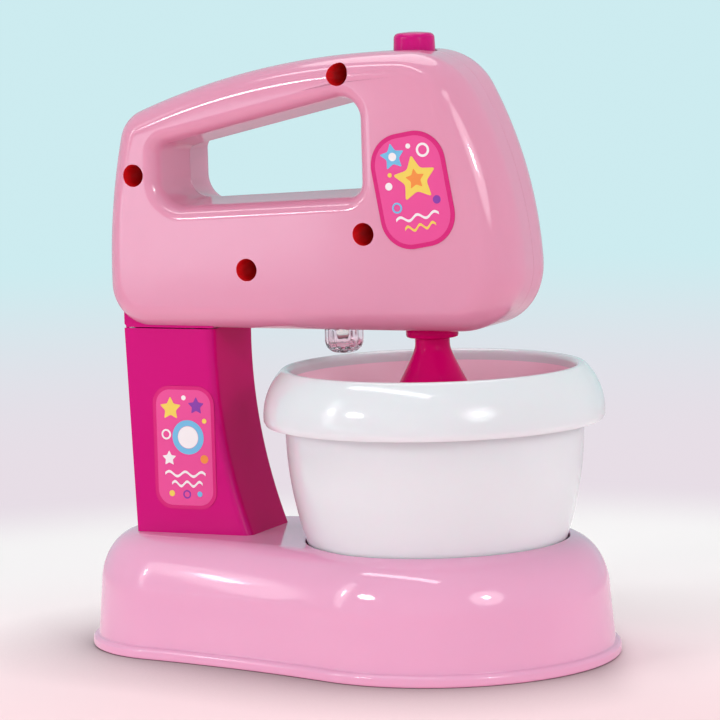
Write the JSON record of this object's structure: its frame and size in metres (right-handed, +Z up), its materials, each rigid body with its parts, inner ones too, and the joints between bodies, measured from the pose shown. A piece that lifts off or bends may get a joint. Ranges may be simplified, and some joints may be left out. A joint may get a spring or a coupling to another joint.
{
  "type": "toy stand mixer",
  "caption": "Toy stand mixer with a tilting head, push button, geared beater and loose bowl, on a base that holds the batteries.",
  "frame": {"origin": "on the floor, under the middle of the base", "axes": "+X from the column to the bowl, +Y across the toy away from the screw wells, +Z up"},
  "size_m": [0.178, 0.1128, 0.1973],
  "materials": {
    "pink_plastic": "gloss",
    "magenta_plastic": "gloss",
    "white_plastic": "gloss",
    "clear_plastic": "clear",
    "lamp_glass": "clear",
    "steel": "zinc plated",
    "brass": "machined",
    "nylon": "natural",
    "black_plastic": "matte",
    "lead_sheath": "matte",
    "cell_jacket": "gloss",
    "label_film": "gloss"
  },
  "bodies": {
    "stand": {"base_shell": "pink_plastic", "base_plate": "pink_plastic", "battery_door": "pink_plastic", "door_screw": "steel", "base_screws": "steel", "battery_cells": "cell_jacket", "battery_contacts": "steel", "battery_springs": "steel", "column_near_half": "magenta_plastic", "column_far_half": "magenta_plastic", "column_screws": "steel", "column_foot_screws": "steel", "hinge_pin": "steel", "column_lead": "lead_sheath", "column_sticker": "label_film"},
    "head": {"tilt_neck": "magenta_plastic", "neck_screws": "steel", "head_near_half": "pink_plastic", "head_far_half": "pink_plastic", "head_screws": "steel", "head_sticker": "label_film", "lamp_cover": "clear_plastic", "lamp_bulb": "lamp_glass", "motor": "steel", "gearbox_tray": "nylon", "gearbox_lid": "nylon", "idler_axle": "steel", "spindle_bush": "nylon", "push_switch": "black_plastic", "button_spring": "steel", "head_lead": "lead_sheath"},
    "button": {"power_button": "magenta_plastic", "switch_plunger": "nylon"},
    "beater_drive": {"beater": "magenta_plastic", "drive_spindle": "steel", "spindle_gear": "nylon"},
    "idler": {"idler_gear": "nylon"},
    "rotor": {"motor_shaft": "steel", "motor_pinion": "brass"},
    "bowl": {"bowl": "white_plastic"}
  },
  "joints": [
    {"name": "head_tilt", "type": "hinge", "parent": "stand", "child": "head", "pos_m": [-0.07085, 0, 0.10415], "axis": [0, -1, 0], "range_deg": [0, 65]},
    {"name": "button_press", "type": "slide", "parent": "head", "child": "button", "axis": [0, 0, -1], "range_m": [0, 0.0025], "stiffness_N_per_m": 350, "springref_m": -0.002, "deforming": ["button_spring"]},
    {"name": "beater_spin", "type": "hinge", "parent": "head", "child": "beater_drive", "pos_m": [0.031, 0, 0.104], "axis": [0, 0, 1], "continuous": true},
    {"name": "idler_spin", "type": "hinge", "parent": "head", "child": "idler", "pos_m": [0.01525, 0, 0.11], "axis": [0, 0, 1], "continuous": true},
    {"name": "motor_spin", "type": "hinge", "parent": "head", "child": "rotor", "pos_m": [0.00085, 0, 0.114], "axis": [0, 0, 1], "continuous": true},
    {"name": "bowl_turn", "type": "hinge", "parent": "stand", "child": "bowl", "pos_m": [0.031, 0, 0.0333], "axis": [0, 0, 1], "continuous": true}
  ],
  "couplings": [
    {"joint": "idler_spin", "follows": "beater_spin", "ratio": -2.5},
    {"joint": "motor_spin", "follows": "beater_spin", "ratio": 7.5}
  ]
}
